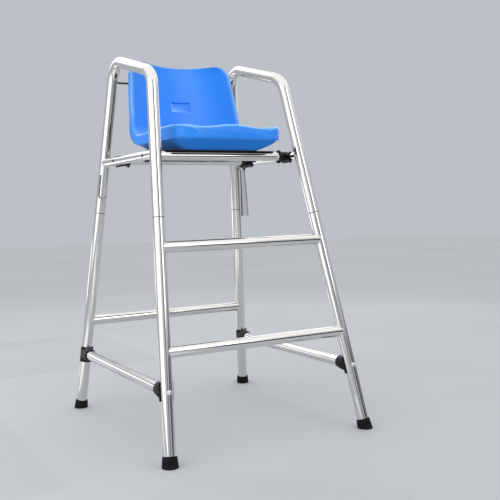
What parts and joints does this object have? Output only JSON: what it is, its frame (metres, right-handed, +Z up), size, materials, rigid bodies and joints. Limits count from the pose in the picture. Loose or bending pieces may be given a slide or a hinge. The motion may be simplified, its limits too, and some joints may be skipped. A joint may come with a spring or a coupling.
{
  "type": "lifeguard chair",
  "caption": "Tall free-standing lifeguard chair of polished steel tube with bent armrest hoops, a ladder front, a moulded bucket seat, rubber feet, a wire hook and a hanging strap.",
  "frame": {"origin": "on the floor, at the middle of the four feet", "axes": "+Z up, the sitter faces -Y, +X to the right when the chair is seen from the front"},
  "size_m": [0.8148, 0.9562, 1.3824],
  "materials": {
    "polished_steel": "polished",
    "black_plastic": "satin",
    "black_rubber": "matt",
    "blue_plastic": "gloss",
    "dark_steel": "satin",
    "grey_webbing": "woven"
  },
  "bodies": {
    "frame": {"left_hoop": "polished_steel", "right_hoop": "polished_steel", "front_left_leg": "polished_steel", "front_right_leg": "polished_steel", "rear_left_leg": "polished_steel", "rear_right_leg": "polished_steel", "front_left_spigot": "polished_steel", "front_right_spigot": "polished_steel", "rear_left_spigot": "polished_steel", "rear_right_spigot": "polished_steel", "front_upper_rung": "polished_steel", "front_lower_rung": "polished_steel", "rear_rung": "polished_steel", "left_side_rail": "polished_steel", "right_side_rail": "polished_steel", "left_lower_bar": "polished_steel", "right_lower_bar": "polished_steel", "front_rail": "polished_steel", "rear_rail": "polished_steel", "front_left_bar_bolt": "polished_steel", "front_right_bar_bolt": "polished_steel", "rear_left_bar_bolt": "polished_steel", "rear_right_bar_bolt": "polished_steel", "front_left_seat_bolt": "polished_steel", "front_right_seat_bolt": "polished_steel", "rear_left_seat_bolt": "polished_steel", "rear_right_seat_bolt": "polished_steel", "j_hook": "polished_steel", "front_left_bar_connector": "black_plastic", "front_right_bar_connector": "black_plastic", "rear_left_bar_connector": "black_plastic", "rear_right_bar_connector": "black_plastic", "front_left_rail_connector": "black_plastic", "front_right_rail_connector": "black_plastic", "rear_left_rail_connector": "black_plastic", "rear_right_rail_connector": "black_plastic", "seat_plate": "black_plastic", "front_left_foot": "black_rubber", "front_right_foot": "black_rubber", "rear_left_foot": "black_rubber", "rear_right_foot": "black_rubber", "seat_shell": "blue_plastic", "front_left_rail_bolt": "dark_steel", "front_right_rail_bolt": "dark_steel", "rear_left_rail_bolt": "dark_steel", "rear_right_rail_bolt": "dark_steel", "front_left_plate_screw": "dark_steel", "front_right_plate_screw": "dark_steel", "rear_left_plate_screw": "dark_steel", "rear_right_plate_screw": "dark_steel", "back_tie_rod": "dark_steel"},
    "strap": {"hanging_strap": "grey_webbing"}
  },
  "joints": [
    {"name": "strap_swing", "type": "hinge", "parent": "frame", "child": "strap", "pos_m": [0.2905, 0.2395, 0.988], "axis": [0, 1, 0], "range_deg": [-75, 75]}
  ]
}
